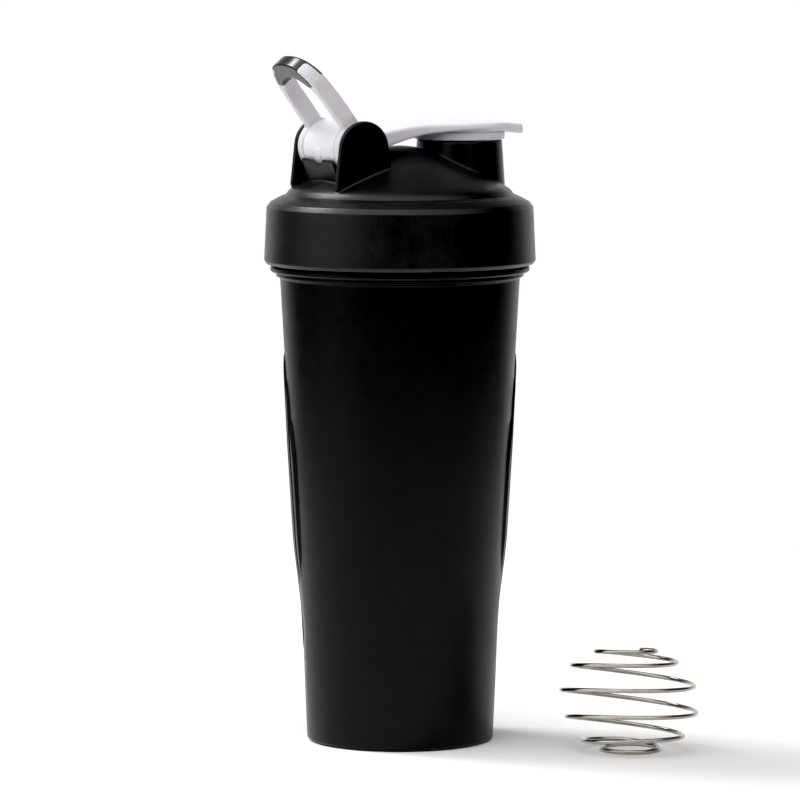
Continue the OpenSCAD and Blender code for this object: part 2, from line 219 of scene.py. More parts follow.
def field_mesh(field, lo, hi, step, passes=3):
    """The zero surface of a field as points and quads, by surface nets and then projection."""
    lo, hi = np.array(lo, float), np.array(hi, float)
    count = np.ceil((hi - lo) / step).astype(int) + 1
    axes = [lo[i] + step * np.arange(count[i]) for i in range(3)]
    grid = np.meshgrid(*axes, indexing="ij")
    f = field(*grid)
    inside = f < 0
    total = np.zeros(count - 1, int)
    corners = [(i, j, k) for i in (0, 1) for j in (0, 1) for k in (0, 1)]
    for i, j, k in corners:
        total += inside[i:i + count[0] - 1, j:j + count[1] - 1, k:k + count[2] - 1]
    active = (total > 0) & (total < 8)
    cells = np.argwhere(active)
    number = np.full(active.shape, -1)
    number[active] = np.arange(len(cells))
    value = {c: f[tuple((cells + c).T)] for c in corners}
    sums, hits = np.zeros((len(cells), 3)), np.zeros(len(cells))
    for c in corners:
        for axis in range(3):
            if c[axis]:
                continue
            d = tuple(v + (i == axis) for i, v in enumerate(c))
            crossing = (value[c] < 0) != (value[d] < 0)
            with np.errstate(divide="ignore", invalid="ignore"):
                t = np.where(crossing, value[c] / (value[c] - value[d]), 0)
            place = np.tile(np.array(c, float), (len(cells), 1))
            place[:, axis] += t
            sums += place * crossing[:, None]
            hits += crossing
    verts = lo + step * (cells + sums / hits[:, None])
    faces = []
    for axis in range(3):
        u, v = (axis + 1) % 3, (axis + 2) % 3
        a = np.take(inside, range(count[axis] - 1), axis)
        b = np.take(inside, range(1, count[axis]), axis)
        for sign, hit in ((1, a & ~b), (-1, ~a & b)):
            at = np.argwhere(hit)
            at = at[(at[:, u] > 0) & (at[:, v] > 0) & (at[:, u] < count[u] - 1) & (at[:, v] < count[v] - 1)]
            ring = []
            for du, dv in ((-1, -1), (0, -1), (0, 0), (-1, 0))[::sign]:
                cell = at.copy()
                cell[:, u] += du
                cell[:, v] += dv
                ring.append(number[tuple(cell.T)])
            faces.append(np.stack(ring, 1))
    faces = np.vstack(faces)
    faces = faces[(faces >= 0).all(1)]
    start, h, least_square, furthest = verts.copy(), 0.02, 0.2, 0.8 * step
    for _ in range(passes):
        x, y, z = verts.T
        slope = np.stack([field(x + h, y, z) - field(x - h, y, z), field(x, y + h, z) - field(x, y - h, z),
                          field(x, y, z + h) - field(x, y, z - h)], 1) / (2 * h)
        square = np.maximum((slope ** 2).sum(1), least_square)
        verts = verts - (field(x, y, z) / square)[:, None] * slope
        move = verts - start
        far = np.linalg.norm(move, axis=1)
        verts = start + move * np.minimum(1, furthest / np.maximum(far, 1e-9))[:, None]
    return verts, faces.tolist()


# ---------------------------------------------------------------- materials

class Nodes:
    """A short way to add and link shader nodes."""

    def __init__(self, tree):
        self.tree = tree
        self.coords = tree.nodes.new("ShaderNodeTexCoord")

    def add(self, kind, inputs=None, **values):
        node = self.tree.nodes.new("ShaderNode" + kind)
        for key, value in values.items():
            setattr(node, key, value)
        for key, value in (inputs or {}).items():
            if isinstance(value, bpy.types.NodeSocket):
                self.tree.links.new(value, node.inputs[key])
            else:
                node.inputs[key].default_value = value
        return node

    def noise(self, scale, detail=2.0, roughness=0.5, stretch=(1, 1, 1)):
        place = self.add("Mapping", {"Vector": self.coords.outputs["Object"], "Scale": stretch})
        return self.add("TexNoise", {"Vector": place.outputs["Vector"], "Scale": scale, "Detail": detail,
                                     "Roughness": roughness}).outputs["Fac"]

    def spread(self, value, low, high, start=0.3, end=0.7):
        return self.add("MapRange", {"Value": value, "From Min": start, "From Max": end,
                                     "To Min": low, "To Max": high}).outputs["Result"]

    def mix(self, factor, a, b):
        """Blends two colours; the first may be another node's output."""
        node = self.add("Mix", {"Factor": factor}, data_type="RGBA")
        if isinstance(a, bpy.types.NodeSocket):
            self.tree.links.new(a, node.inputs["A"])
        else:
            node.inputs["A"].default_value = (*a, 1)
        node.inputs["B"].default_value = (*b, 1)
        return node.outputs["Result"]


def moulded(name, colour, tint, roughness, grain, grain_scale, edge_tint=None, ripple=0.05, **shader):
    """Moulded plastic or rubber: a slow drift of colour, fine grain, uneven gloss and paler edges."""
    mat = bpy.data.materials.new(name)
    mat.use_nodes = True
    nodes = Nodes(mat.node_tree)
    bsdf = mat.node_tree.nodes["Principled BSDF"]
    link = mat.node_tree.links.new
    shade = nodes.mix(nodes.spread(nodes.noise(35, 4), 0, 1), colour, tint)
    if edge_tint is not None:
        # Paler colour mixed in on sharp convex edges, in noise patches.
        edge = nodes.add("NewGeometry").outputs["Pointiness"]
        sharp_edges = nodes.spread(edge, 0, 1, 0.53, 0.62)
        patches = nodes.spread(nodes.noise(400, 3), 0.3, 1)
        patchy = nodes.add("Math", {0: sharp_edges, 1: patches}, operation="MULTIPLY")
        shade = nodes.mix(patchy.outputs["Value"], shade, edge_tint)
    link(shade, bsdf.inputs["Base Color"])
    gloss = nodes.spread(nodes.noise(160, 5, 0.6), roughness[0], roughness[1])
    link(gloss, bsdf.inputs["Roughness"])
    slow = nodes.add("Bump", {"Height": nodes.noise(45, 2), "Strength": ripple, "Distance": 0.002})
    fine = nodes.add("Bump", {"Height": nodes.noise(grain_scale, 3, 0.6), "Strength": grain,
                              "Distance": 0.0002, "Normal": slow.outputs["Normal"]})
    link(fine.outputs["Normal"], bsdf.inputs["Normal"])
    for key, value in shader.items():
        bsdf.inputs[key.replace("_", " ")].default_value = value
    return mat


def steel(name):
    """Polished wire with faint drawing marks."""
    mat = bpy.data.materials.new(name)
    mat.use_nodes = True
    nodes = Nodes(mat.node_tree)
    bsdf = mat.node_tree.nodes["Principled BSDF"]
    link = mat.node_tree.links.new
    shade = nodes.mix(nodes.spread(nodes.noise(220, 4), 0, 1), (0.5, 0.47, 0.43), (0.38, 0.35, 0.32))
    link(shade, bsdf.inputs["Base Color"])
    link(nodes.spread(nodes.noise(900, 5, 0.7), 0.08, 0.2), bsdf.inputs["Roughness"])
    marks = nodes.add("Bump", {"Height": nodes.noise(2500, 2, 0.5, (0.2, 0.2, 1)), "Strength": 0.06,
                               "Distance": 0.0001})
    link(marks.outputs["Normal"], bsdf.inputs["Normal"])
    bsdf.inputs["Metallic"].default_value = 1
    return mat


CUP_PLASTIC = moulded("cup_plastic", (0.0008, 0.001, 0.0012), (0.0016, 0.0018, 0.002), (0.28, 0.36),
                      0.05, 2600, edge_tint=(0.01, 0.0105, 0.0115), Specular_IOR_Level=0.16)
LID_PLASTIC = moulded("lid_plastic", (0.0012, 0.0012, 0.0015), (0.0024, 0.0024, 0.0027), (0.28, 0.38),
                      0.35, 1900, edge_tint=(0.02, 0.02, 0.022), Specular_IOR_Level=0.35)
CAP_PLASTIC = moulded("cap_plastic", (0.8, 0.79, 0.85), (0.84, 0.83, 0.88), (0.3, 0.4), 0.04, 2600,
                      Specular_IOR_Level=0.35, Subsurface_Weight=0.15, Subsurface_Scale=0.003)
PLUG_PLASTIC = moulded("plug_plastic", (0.76, 0.75, 0.83), (0.8, 0.79, 0.86), (0.36, 0.46), 0.05, 2400,
                       Subsurface_Weight=0.25, Subsurface_Scale=0.004)
LOOP_PLASTIC = moulded("loop_plastic", (0.74, 0.71, 0.75), (0.79, 0.76, 0.8), (0.32, 0.42), 0.05, 2400,
                       Subsurface_Weight=0.15, Subsurface_Scale=0.003)
GRIP_RUBBER = moulded("grip_rubber", (0.01, 0.01, 0.011), (0.018, 0.018, 0.02), (0.16, 0.26), 0.05, 1600,
                      edge_tint=(0.05, 0.05, 0.055))
SEAL_SILICONE = moulded("seal_silicone", (0.66, 0.67, 0.7), (0.72, 0.73, 0.75), (0.4, 0.5), 0.05, 2000,
                        Subsurface_Weight=0.4, Subsurface_Scale=0.003)
BALL_STEEL = steel("ball_steel")


# ---------------------------------------------------------------- cup

CUP_R, CUP_R_TOP, NECK_Z, CUP_H = 34.3, 43.8, 170, 191
CUP_WALL, CUP_FLOOR = 2.2, 2.6
PANEL_ANGLES = [math.radians(a) for a in (-27, 153)]
PANEL_Z, PANEL_W = (33, 143), 24
PANEL_HALF_ARC, PANEL_ARC_STEP, FLAT_TOP = 27, 0.36, 78
RIB_STEP, RIB_W, RIBS = math.radians(6.6), 2.6, 5
NEVER = 99
FLAT_LINE = np.array([[0, 34.3], [30, 35.2], [45, 35.6], [72, 38.45], [100, 41.4]])
RIB_LINE = np.array([[33, 35.5], [50, 36.4], [72, 39.1], [108, 41.3], [138, 42.75], [143, 42.5]])


def smooth_step(value):
    t = np.clip(value, 0, 1)
    return t * t * (3 - 2 * t)


def soft_line(line, z):
    """A broken line read at z, with its corners softened."""
    return sum(np.interp(z + d, line[:, 0], line[:, 1]) for d in (-3, -1.5, 0, 1.5, 3)) / 5


def cup_shape(r, z, angle):
    """Sinks the two grip panels into the wall and raises their ribs."""
    wall = (r > CUP_R + (CUP_R_TOP - CUP_R) * z / NECK_Z - 1) & (z > 0.5) & (z < 165)
    out = r.copy()
    half_h = (PANEL_Z[1] - PANEL_Z[0]) / 2
    arc_r = (half_h ** 2 + PANEL_W ** 2 / 4) / PANEL_W
    rise = np.clip(np.abs(z - PANEL_Z[0] - half_h), 0, half_h)
    leaf = np.sqrt(arc_r ** 2 - rise ** 2) - arc_r + PANEL_W / 2
    for panel in PANEL_ANGLES:
        turn = (angle - panel + math.pi) % (2 * math.pi) - math.pi
        near = wall & (np.abs(turn) < 1)
        flat = soft_line(FLAT_LINE, z) / np.cos(np.clip(turn, -1, 1))
        out = np.where(near, smin(out, np.where(z < FLAT_TOP, flat, NEVER), 0.7), out)
        high = np.zeros_like(r)
        for k in range(RIBS):
            side = np.abs(r * np.sin(turn - (k - RIBS // 2) * RIB_STEP))
            high = np.maximum(high, smooth_step((RIB_W / 2 + 0.25 - side) / 0.5))
        within = smooth_step((leaf - np.abs(r * np.sin(turn))) / 0.8)
        ribbed = soft_line(RIB_LINE, z)
        out = np.where(near & (ribbed > out), out + (ribbed - out) * high * within, out)
    return out


def cup_outline():
    """The cup's foot, its outside up to the rim and its inside down to the floor, finely divided outside."""
    inside = CUP_R - CUP_WALL, CUP_R_TOP - CUP_WALL
    foot = [(0, 0.7, 0), (27.5, 0.7, 1), (29, 0, 0.6), (33.1, 0, 0.5), (CUP_R, 1.2, 0.8)]
    flange = [(CUP_R_TOP, NECK_Z, 0.6), (45.2, 170.8, 0.5), (45.2, 172.4, 0.4), (46.9, 172.4, 0.2),
              (47.35, 172.9, 0.35), (47.35, 173.9, 0.35), (46.9, 174.4, 0.2), (43.9, 174.4, 0.5)]
    rim = [(43.9, 190.4, 0.5), (43.3, CUP_H, 0.4), (42.3, CUP_H, 0.4), (41.7, 190.2, 0.4)]
    bore = [(inside[1], NECK_Z, 1), (inside[0], 6.6, 2), (28.1, CUP_FLOOR, 3), (0, CUP_FLOOR, 0)]
    points = round_profile(foot + flange + rim + bore)
    fine = []
    for a, b in zip(points[:-1], points[1:]):
        wall = a[0] > 33 and b[1] > a[1] and b[1] < 171 and a[1] < 170
        fine.append(densify([a, b], 1.1 if wall else 14)[:-1])
    return np.vstack(fine + [points[-1:]])


def cup_angles():
    """Close steps across the two panels and wide steps elsewhere."""
    near = np.radians(np.arange(-PANEL_HALF_ARC, PANEL_HALF_ARC + 0.01, PANEL_ARC_STEP))
    coarse = np.radians(np.arange(0, 360, 3))
    clear = math.radians(PANEL_HALF_ARC + 1)
    keep = [a for a in coarse
            if all(abs((a - p + math.pi) % (2 * math.pi) - math.pi) > clear for p in PANEL_ANGLES)]
    every = np.concatenate([keep] + [near + p for p in PANEL_ANGLES]) % (2 * math.pi)
    return np.sort(every)


cup_body = lathe(cup_outline(), cup_angles(), cup_shape)
cup_thread = screw_ridge(43.7, 45.6, 180.2)
make_object("cup_shell", *merge(cup_body, cup_thread), CUP_PLASTIC, "cup", "cup", "cup_plastic")


# ---------------------------------------------------------------- lid

SKIRT_R, SKIRT_R_TOP, SKIRT_Z, SKIRT_BORE_R = 49.6, 48.7, 175.2, 46.9
DOME_R, DOME_TOP, DOME_WALL, DOME_SLOPE = 30, 218.2, 2.2, math.radians(24.7)
DOME_EDGE = [((39, 203.3), 33), ((40.6, 202.05), 46), ((41.6, 200.55), 60)]
SEAM_Z = 200.1
SPOUT_X = float(cad_box("spout_plug")[0][0] + cad_box("spout_plug")[1][0]) / 2
SPOUT_R, SPOUT_R_FOOT, SPOUT_Z, SPOUT_BORE_R = 15.6, 16.9, 219.9, 13
EAR_R, EAR_Y, EAR_T = 10, 17.6, 2
BARREL_R, TRUNNION_R = 9.8, 4.5
ARM_Y = (11.5, 15.35)
PLATE_TOP, NOTCH_Z, SLOT_Z = 214.25, 212.8, 207.9
PLATE_FOOT = (-31.8, 205)
EAR_REAR, EAR_FOOT, EAR_FRONT = (-36.3, 204.2), (-35.4, 202.4), (-13.9, 212.5)
SLOT_X, SLOT_Y, SLOT_HALF_W = (-40, -30.6), 13.45, 2.15
NOTCH_HALF_W, NOTCH_SPREAD = 2.35, 1.3
POCKET_R, POCKET_WALL_R, SOCKET_GAP, SOCKET_Y = 10.25, 12.05, 0.06, 16.7


def hinge_distance(x, z):
    return np.hypot(x - HINGE_X, z - HINGE_Z)


def dome_field(r, z):
    """A round top on a straight side, with an edge that turns down to the shoulder."""
    z = z - DOME_TOP + DOME_R
    sine, cosine = math.sin(DOME_SLOPE), math.cos(DOME_SLOPE)
    dome = np.where(r * cosine < z * sine, np.hypot(r, z), r * sine + z * cosine) - DOME_R
    for (edge_r, edge_z), slope in DOME_EDGE:
        sine, cosine = math.sin(math.radians(slope)), math.cos(math.radians(slope))
        dome = smax(dome, (r - edge_r) * sine + (z - edge_z + DOME_TOP - DOME_R) * cosine, 0.5)
    return dome


def lid_top_field(x, y, z):
    """The dome with its spout, ears and catch plate, down to the seam inside the shoulder."""
    side = np.abs(y)
    dome = dome_field(np.hypot(x, y), z)
    spout_r = np.hypot(x - SPOUT_X, y)
    spout = spout_r - SPOUT_R_FOOT + (SPOUT_R_FOOT - SPOUT_R) * (z - 200) / (SPOUT_Z - 200)
    body = smin(dome, smax(spout, z - SPOUT_Z, 0.8), 0.5)

    rear_x = HINGE_X - EAR_R
    slope = (rear_x - EAR_REAR[0]) / (HINGE_Z - EAR_REAR[1])
    top_x = EAR_REAR[0] + slope * (PLATE_TOP - EAR_REAR[1])
    plate_x = PLATE_FOOT[0]
    plate = polygon_field(x, z, [(top_x, PLATE_TOP), PLATE_FOOT, (plate_x, 198), (plate_x + 5, 198),
                                 (plate_x + 5, SLOT_Z - 1), (top_x + 2, PLATE_TOP)])
    plate = smax(plate, side - EAR_Y + 0.4, 0.6)
    slot = np.maximum(np.maximum(x - SLOT_X[1], SLOT_X[0] - x), np.abs(side - SLOT_Y) - SLOT_HALF_W)
    plate = cut(plate, np.maximum(slot, SLOT_Z - z), 0.5)
    notch = np.maximum(side - NOTCH_HALF_W - (z - NOTCH_Z) * NOTCH_SPREAD, NOTCH_Z - z)
    plate = cut(plate, notch, 0.6)
    outline = polygon_field(x, z, [(rear_x, HINGE_Z + 0.6), EAR_REAR, EAR_FOOT, (EAR_FOOT[0], 196),
                                   (-12, 196), (-12.9, 209), EAR_FRONT, (HINGE_X + EAR_R, HINGE_Z)])
    outline = np.minimum(outline, hinge_distance(x, z) - EAR_R)
    ear = smax(outline, np.abs(side - EAR_Y + EAR_T / 2) - EAR_T / 2, 0.7)
    body = smin(body, smin(plate, ear, 0.3), 0.4)

    body = np.maximum(body, -dome - DOME_WALL)
    pocket_wall = np.maximum(np.maximum(hinge_distance(x, z) - POCKET_WALL_R, dome + 0.3), side - EAR_Y)
    body = smin(body, pocket_wall, 0.8)
    body = cut(body, np.maximum(hinge_distance(x, z) - POCKET_R, side - EAR_Y + EAR_T), 0.5)
    body = cut(body, np.maximum(hinge_distance(x, z) - TRUNNION_R - SOCKET_GAP, side - SOCKET_Y), 0.2)
    body = cut(body, np.maximum(spout_r - SPOUT_BORE_R, 195 - z), 0.9)
    return np.maximum(body, SEAM_Z - z)


def lid_skirt_outline():
    """The skirt, the shoulder and the collar that holds the seal ring."""
    corners = [(SKIRT_BORE_R, 176.5, 0), (SKIRT_BORE_R, SKIRT_Z, 0.4), (48.7, SKIRT_Z, 0.6),
               (SKIRT_R, 176.5, 0.9), (SKIRT_R_TOP, 195.9, 0.8), (47.4, 197.7, 0.9), (44.1, 199.5, 2),
               (41.6, 200.55, 0.3), (39.6, 200.4, 0.2), (39, 199.9, 0.2), (39, 189, 0.4), (40.3, 189, 0.4),
               (40.3, 193, 0.3), (SKIRT_BORE_R, 193, 0.4), (SKIRT_BORE_R, 176.5, 0)]
    return densify(round_profile(corners, 7), 6)[:-1]


lid_top = field_mesh(lid_top_field, (-43.5, -43.5, 199.4), (43.5, 43.5, 229), 0.45)
lid_skirt = lathe(lid_skirt_outline(), circle_angles(240))
lid_thread = screw_ridge(47.1, 45.2, 177.7)
make_object("lid_shell", *merge(lid_top, lid_skirt, lid_thread), LID_PLASTIC, "lid", "lid", "lid_plastic")

seal = round_profile([(42.7, 191, 0), (44.8, 191, 0.6), (44.8, 193, 0.6), (40.6, 193, 0.6), (40.6, 191, 0.6),
                      (42.7, 191, 0)])[:-1]
make_object("seal_ring", *lathe(seal, circle_angles(180)), SEAL_SILICONE, "seal_ring", "lid_seal_ring",
            "seal_silicone")


# ---------------------------------------------------------------- flip cap

LEVER_Y, HEAD_R, TAB_X = 11.1, 17.8, 46.9
TAB_CORNER_R, TRUNNION_Y = 3, 16.55
FLARE_X, FLARE_LENGTH, FLARE_SLOPE = 2, 19, 1.1
TOP_R, TOP_X, TOP_Z = 200, 22, 227.2
UNDER_R, UNDER_X, UNDER_Z = (100, 150), 22, 223.9
CROWN = 0.8
DISC_R, DISC_TOP, DISC_Z = 16.6, 223, 220.05
BOSS_R, BOSS_TOP = 5, 224.6
MARK_ANGLE, MARK_R, MARK_H = math.radians(13), 2.2, 0.38


def flip_cap_field(x, y, z):
    """The crowned lever with its barrel, trunnions and the recess that holds the plug."""
    side = np.abs(y)
    spread = smooth_step((x - FLARE_X) / FLARE_LENGTH)
    flare = (side - LEVER_Y + 0.15 - (HEAD_R - 0.1 - LEVER_Y) * spread) / FLARE_SLOPE
    flare = np.maximum(flare, x - SPOUT_X)
    head = np.hypot(x - SPOUT_X, y) - HEAD_R
    tab_mid, tab_half = (SPOUT_X + TAB_X) / 2, (TAB_X - SPOUT_X) / 2
    tab_x, tab_y = np.abs(x - tab_mid) - tab_half + TAB_CORNER_R, side - LEVER_Y + TAB_CORNER_R
    tab = np.hypot(np.maximum(tab_x, 0), np.maximum(tab_y, 0)) + np.minimum(np.maximum(tab_x, tab_y), 0)
    tab = tab - TAB_CORNER_R
    plan = smin(np.minimum(flare, head), tab, 4)
    crowned = z + CROWN * (side / HEAD_R) ** 2
    top = np.hypot(x - TOP_X, crowned - TOP_Z + TOP_R) - TOP_R
    under_r = np.where(x < UNDER_X, *UNDER_R)
    under = under_r - np.hypot(x - UNDER_X, z - UNDER_Z + under_r)
    lever = smax(smax(plan, top, 1.4), under, 0.9)
    lever = np.maximum(lever, HINGE_X + 4 - x)
    barrel = smax(hinge_distance(x, z) - BARREL_R, side - LEVER_Y, 1.1)
    body = smin(lever, barrel, 0.6)
    across = (x - HINGE_X) * math.sin(MARK_ANGLE) - (z - HINGE_Z) * math.cos(MARK_ANGLE)
    mark = np.maximum(np.hypot(across, y) - MARK_R, hinge_distance(x, z) - BARREL_R - MARK_H)
    body = np.minimum(body, np.maximum(mark, x - HINGE_X))
    disc_r = np.hypot(x - SPOUT_X, y)
    body = np.minimum(body, np.maximum(disc_r - DISC_R, np.abs(z - DISC_TOP - 1) - 1))
    body = cut(body, np.maximum(disc_r - DISC_R - 0.1, z - DISC_TOP), 0.3)
    body = cut(body, np.maximum(disc_r - BOSS_R - 0.05, z - BOSS_TOP), 0.2)
    trunnion = smax(hinge_distance(x, z) - TRUNNION_R, side - TRUNNION_Y, 0.6)
    return np.minimum(body, trunnion)


flip_cap = field_mesh(flip_cap_field, (-36, -19.2, 207), (48.4, 19.2, 229), 0.42)
make_object("flip_cap_lever", *flip_cap, CAP_PLASTIC, "flip_cap", "flip_cap", "cap_plastic")

plug_outline = round_profile([
    (0, DISC_Z, 0), (11.05, DISC_Z, 0.6), (11.05, 215.25, 0.3), (11.9, 215.25, 0.4), (12.55, 216.4, 0.5),
    (12.75, 217.4, 0.5), (12.5, 218.4, 0.5), (12.5, DISC_Z, 0.5), (DISC_R, DISC_Z, 0.6),
    (DISC_R, DISC_TOP, 0.5), (BOSS_R, DISC_TOP, 0.3), (BOSS_R, BOSS_TOP, 0.3), (0, BOSS_TOP, 0)])
plug = lathe(plug_outline, circle_angles(160))
plug = (plug[0] + [SPOUT_X, 0, 0], plug[1])
make_object("spout_plug_disc", *plug, PLUG_PLASTIC, "flip_cap", "spout_plug", "plug_plastic")


# ---------------------------------------------------------------- carry loop

LOOP_LENGTH, LOOP_RAISE = 39.5, math.radians(50)
LOOP_TOP_R, LOOP_TOP = 150, (-23, 6.1)
END_ROUND_X, END_ROUND_R, END_CROWN_R, LOOP_END_Y = -27.4, 12, 22, 14
EYE_R, EYE_X = 11.4, -21.9
EYE_ARM_X, EYE_ARM_Y = (EYE_X - 3.5, -20.5), 10.8
UNDER_LEVEL, UNDER_SLOPE, BORE_GAP = -1.2, -0.04, 0.16
CORNER_Y = LOOP_END_Y - END_ROUND_R
GRIP_T, GRIP_START, CORE_END = 1.1, -31.2, -37.5
PANEL_TURN, PANEL_TOP_T, PANEL_WRAP = math.radians(37), 0.6, 1.5
TONGUE_X, TONGUE_Y, TONGUE_R = -32.6, 10.2, 3.6


def loop_top(x, z):
    """Height above the loop's gently arched top."""
    return np.hypot(x - LOOP_TOP[0], z - LOOP_TOP[1] + LOOP_TOP_R) - LOOP_TOP_R


def loop_sides(x, z, margin):
    """Top and underside of the loop, drawn level, moved in by a margin."""
    under = UNDER_LEVEL + UNDER_SLOPE * x + margin - z
    return smax(loop_top(x, z) + margin, under, 0.8)


def loop_eye(x, side):
    """The opening between the arms, round at its far end."""
    width = np.interp(x, EYE_ARM_X, [EYE_ARM_Y, ARM_Y[0]])
    between = np.maximum(side - width, EYE_ARM_X[0] - x)
    return np.minimum(between, np.hypot(x - EYE_X, side) - EYE_R)


def loop_plan(x, y):
    """The loop's outline from above, with its rounded end."""
    side = np.abs(y)
    width = np.interp(x, [END_ROUND_X, -7], [LOOP_END_Y, ARM_Y[1] - 0.15])
    corner = np.hypot(x - END_ROUND_X, np.maximum(side - CORNER_Y, 0)) - END_ROUND_R
    plan = np.where(x > END_ROUND_X, side - width, corner)
    crown_x = END_CROWN_R - LOOP_LENGTH
    crown = np.where(x < crown_x, np.hypot(x - crown_x, y), 0) - END_CROWN_R
    return smax(plan, crown, 0.8)


def loop_form_field(x, y, z):
    """The whole loop with its hubs, before it is split into arms and grip."""
    side = np.abs(y)
    bar = np.maximum(smax(loop_plan(x, y), loop_sides(x, z, 0), 0.8), x)
    bar = cut(bar, loop_eye(x, side), 0.8)
    hub = smax(np.hypot(x, z) - BARREL_R, np.abs(side - sum(ARM_Y) / 2) - (ARM_Y[1] - ARM_Y[0]) / 2, 1.1)
    form = smin(bar, hub, 0.5)
    return np.maximum(form, TRUNNION_R + BORE_GAP - np.hypot(x, z))


def grip_zone_field(x, y, z):
    """Where the grip is: a skin round the end bar that leaves a bare panel on each arm's outer side."""
    side = np.abs(y)
    end = (side - CORNER_Y) * math.cos(PANEL_TURN) + (x - END_ROUND_X) * math.sin(PANEL_TURN)
    core = smax(loop_sides(x, z, GRIP_T), CORE_END - x, 2.4)
    core = np.maximum(core, np.maximum(GRIP_T - loop_eye(x, side), GRIP_T + loop_plan(x, y)))
    panel = smax(smax(loop_top(x, z) + PANEL_TOP_T, -end, 1.6), -PANEL_WRAP - loop_plan(x, y), 0.6)
    tongue = np.hypot(np.maximum(x - TONGUE_X, 0), side - TONGUE_Y) - TONGUE_R
    reach = np.minimum(x - GRIP_START, tongue)
    return np.maximum(reach, -np.minimum(core, panel))


def carry_loop_field(x, y, z):
    return smax(loop_form_field(x, y, z), 0.04 - grip_zone_field(x, y, z), 0.25)


def loop_grip_field(x, y, z):
    return smax(loop_form_field(x, y, z) - 0.12, grip_zone_field(x, y, z), 0.3)


def raise_loop(mesh):
    """Turns the level loop up about the hinge axis."""
    x, y, z = mesh[0].T
    c, s = math.cos(LOOP_RAISE), math.sin(LOOP_RAISE)
    return np.stack([HINGE_X + c * x + s * z, y, HINGE_Z - s * x + c * z], 1), mesh[1]


arms = field_mesh(carry_loop_field, (-40.6, -16.6, -11), (11, 16.6, 11), 0.27)
make_object("carry_loop_arms", *raise_loop(arms), LOOP_PLASTIC, "carry_loop", "carry_loop", "loop_plastic")
grip = field_mesh(loop_grip_field, (-40.8, -16, -2.4), (-26, 16, 8), 0.2)
make_object("loop_grip_sleeve", *raise_loop(grip), GRIP_RUBBER, "carry_loop", "loop_grip", "grip_rubber")


# ---------------------------------------------------------------- whisk ball

WIRE_R, BALL_R, BALL_HALF_H, FOOT_R = 0.8, 25, 20, 10.2
BALL_GAP, BALL_DIRECTION, BALL_TURN = 88, math.radians(-49), math.radians(-30)
STATIONS, LAST_WIDE = (-1.9, 11.8), 9
POLAR_START, POLAR_STEP = 24, 14
TIP_REACH, FIRST_REACH, FOOT_SHIFT = (9.8, 4.2), -16.8, 0.45
LAST_DROP, TIP_RISE, COIL_LEAN = 1, 0.7, (-0.07, -0.098)
TIP_ANGLES, TIP_SIZE, SMOOTHING = (30, 60, 90), 0.02, 4


def coil_reach(k):
    """How far the wire is from the ball's axis at the end of half turn k, left and right in turn."""
    sign = 1 if k % 2 == 0 else -1
    if k > LAST_WIDE:
        return TIP_REACH[k % 2]
    if k < 1:
        return sign * FOOT_R + FOOT_SHIFT
    if k == 1:
        return FIRST_REACH
    return sign * BALL_R * math.sin(math.radians(POLAR_START + POLAR_STEP * k))


def coil_point(k):
    """A point of the wire's centreline; each half turn is a half circle between two stations."""
    i = math.floor(k)
    middle, radius = (coil_reach(i) + coil_reach(i + 1)) / 2, (coil_reach(i) - coil_reach(i + 1)) / 2
    x, y = middle + radius * math.cos(math.pi * (k - i)), radius * math.sin(math.pi * (k - i))
    polar = math.radians(POLAR_START + POLAR_STEP * min(k, LAST_WIDE))
    z = WIRE_R
    if k > 0:
        z += BALL_HALF_H * (math.cos(math.radians(POLAR_START)) - math.cos(polar))
        z -= min(1, max(0, k - LAST_WIDE + 1)) * LAST_DROP
        z += min(1, max(0, k - LAST_WIDE)) * (TIP_RISE + LAST_DROP)
    lean = min(1, max(0, (k - 0.5) / 1.5))
    return np.array([x, y, z + lean * (COIL_LEAN[0] * x + COIL_LEAN[1] * y)])


def wire_mesh(sides=14, per_station=40):
    """The wire as a swept tube with rounded ends."""
    count = int((STATIONS[1] - STATIONS[0]) * per_station)
    path = np.array([coil_point(k) for k in np.linspace(*STATIONS, count)])
    for _ in range(SMOOTHING):
        path[1:-1] = path[1:-1] / 2 + (path[:-2] + path[2:]) / 4
    along = np.gradient(path, axis=0)
    along /= np.linalg.norm(along, axis=1)[:, None]
    across = np.cross([0, 0, 1], along)
    across /= np.linalg.norm(across, axis=1)[:, None]
    up = np.cross(along, across)
    turns = circle_angles(sides)
    rings = []
    for t in np.radians(TIP_ANGLES[::-1]):
        rings.append((path[0] - along[0] * WIRE_R * math.sin(t), max(math.cos(t), TIP_SIZE), 0))
    rings += [(path[i], 1, i) for i in range(count)]
    for t in np.radians(TIP_ANGLES):
        rings.append((path[-1] + along[-1] * WIRE_R * math.sin(t), max(math.cos(t), TIP_SIZE), count - 1))
    verts = []
    for centre, size, i in rings:
        circle = np.cos(turns)[:, None] * across[i] + np.sin(turns)[:, None] * up[i]
        verts.append(centre + circle * WIRE_R * size)
    faces = [tuple(range(sides))[::-1], tuple(range((len(rings) - 1) * sides, len(rings) * sides))]
    for k in range(len(rings) - 1):
        for j in range(sides):
            a, b = k * sides + j, k * sides + (j + 1) % sides
            faces.append((a, b, b + sides, a + sides))
    x, y, z = np.vstack(verts).T
    c, s = math.cos(BALL_TURN), math.sin(BALL_TURN)
    centre = BALL_GAP * math.cos(BALL_DIRECTION), BALL_GAP * math.sin(BALL_DIRECTION)
    return np.stack([centre[0] + c * x - s * y, centre[1] + s * x + c * y, z], 1), faces


make_object("whisk_wire", *wire_mesh(), BALL_STEEL, "whisk_ball", "whisk_ball", "ball_steel")


# ---------------------------------------------------------------- floor, light and camera

